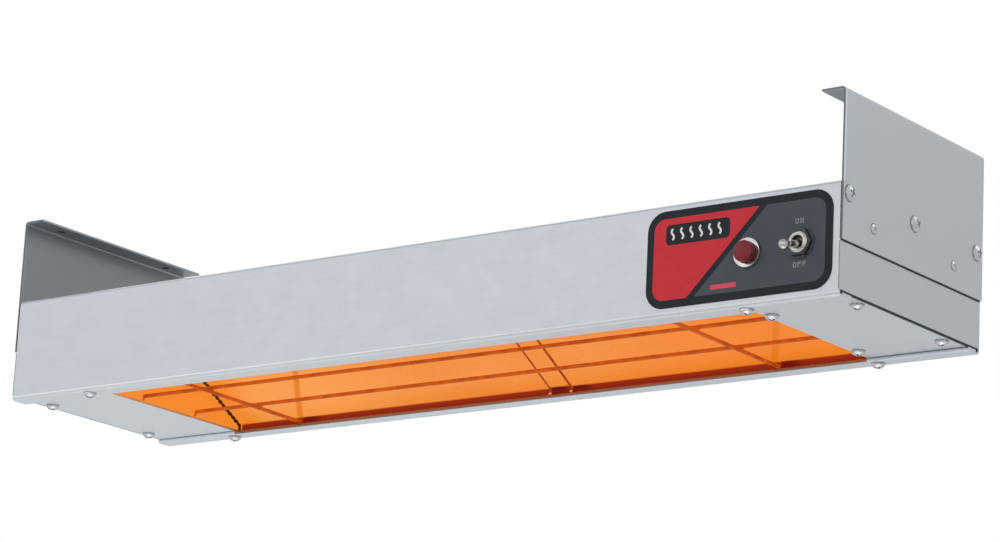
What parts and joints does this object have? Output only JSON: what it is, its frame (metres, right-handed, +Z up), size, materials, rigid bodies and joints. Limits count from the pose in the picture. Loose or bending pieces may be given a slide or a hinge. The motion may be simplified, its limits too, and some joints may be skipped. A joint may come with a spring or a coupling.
{
  "type": "strip heat lamp warmer",
  "caption": "Long sheet-metal food warmer hung under a shelf by end brackets, with a glowing element, reflector, wire guard, pilot light and toggle switch.",
  "frame": {"origin": "centre of the four shelf holes, on the top face of the brackets' flanges", "axes": "+X along the warmer towards the switch, +Y to the rear, +Z up into the shelf"},
  "size_m": [0.6172, 0.1731, 0.1201],
  "materials": {
    "sheet_steel": "satin sheet steel, lightly brushed along its length",
    "bright_fastener": "bright zinc-plated steel",
    "guard_wire": "plated steel wire, lit orange by the element",
    "hot_reflector": "specular aluminium, lit orange by the element",
    "hot_sheath": "oxidised heat-resisting steel at red heat",
    "mineral_core": "packed magnesium oxide",
    "ceramic": "unglazed steatite",
    "terminal_brass": "satin",
    "control_label": "printed overlay: black border, red and dark grey fields",
    "chrome": "polished",
    "red_lens": "clear dark red",
    "black_plastic": "moulded phenolic or nylon",
    "lamp_glass": "neon bulb",
    "blackened_steel": "black oxide",
    "lead_white": "high-temperature sleeved lead",
    "lead_black": "insulated lead",
    "lead_red": "insulated lead",
    "ground_green": "green-dyed steel"
  },
  "bodies": {
    "root": {"housing": "sheet_steel", "end_cap_left": "sheet_steel", "end_cap_right": "sheet_steel", "bracket_left": "sheet_steel", "bracket_right": "sheet_steel", "bracket_screws": "bright_fastener", "clinch_nuts": "bright_fastener", "bracket_rivets": "bright_fastener", "bottom_plate_left": "sheet_steel", "bottom_plate_right": "sheet_steel", "plate_screws": "bright_fastener", "flange_screws": "bright_fastener", "reflector": "hot_reflector", "reflector_end_left": "hot_reflector", "reflector_end_right": "hot_reflector", "element_sheath": "hot_sheath", "element_core": "mineral_core", "element_terminals": "terminal_brass", "element_bushings": "ceramic", "terminal_nuts": "terminal_brass", "hanger_strap": "hot_reflector", "strap_rivet": "hot_reflector", "guard_long_wires": "guard_wire", "guard_cross_wires": "guard_wire", "control_label": "control_label", "pilot_bezel": "chrome", "pilot_lens": "red_lens", "pilot_body": "black_plastic", "pilot_nut": "bright_fastener", "pilot_lamp": "lamp_glass", "switch_body": "black_plastic", "switch_bushing": "chrome", "switch_front_nut": "blackened_steel", "switch_ring": "blackened_steel", "switch_back_nut": "bright_fastener", "lever_pin": "bright_fastener", "rocker_pin": "bright_fastener", "switch_contacts": "terminal_brass", "terminal_block": "ceramic", "clamp_screws": "terminal_brass", "block_screw": "bright_fastener", "ground_screw": "ground_green", "ground_nut": "bright_fastener", "cord_bushing": "black_plastic", "element_leads": "lead_white", "switch_lead": "lead_black", "pilot_leads": "lead_red"},
    "lever": {"switch_lever": "chrome"},
    "rocker": {"switch_rocker": "terminal_brass"}
  },
  "joints": [
    {"name": "switch_toggle", "type": "hinge", "parent": "root", "child": "lever", "pos_m": [0.2796, -0.07425, -0.0851], "axis": [-1, 0, 0], "range_deg": [0, 30]},
    {"name": "rocker_tilt", "type": "hinge", "parent": "root", "child": "rocker", "pos_m": [0.2796, -0.06225, -0.0851], "axis": [-1, 0, 0], "range_deg": [-24, 0]}
  ],
  "couplings": [
    {"joint": "rocker_tilt", "follows": "switch_toggle", "ratio": -0.8}
  ]
}
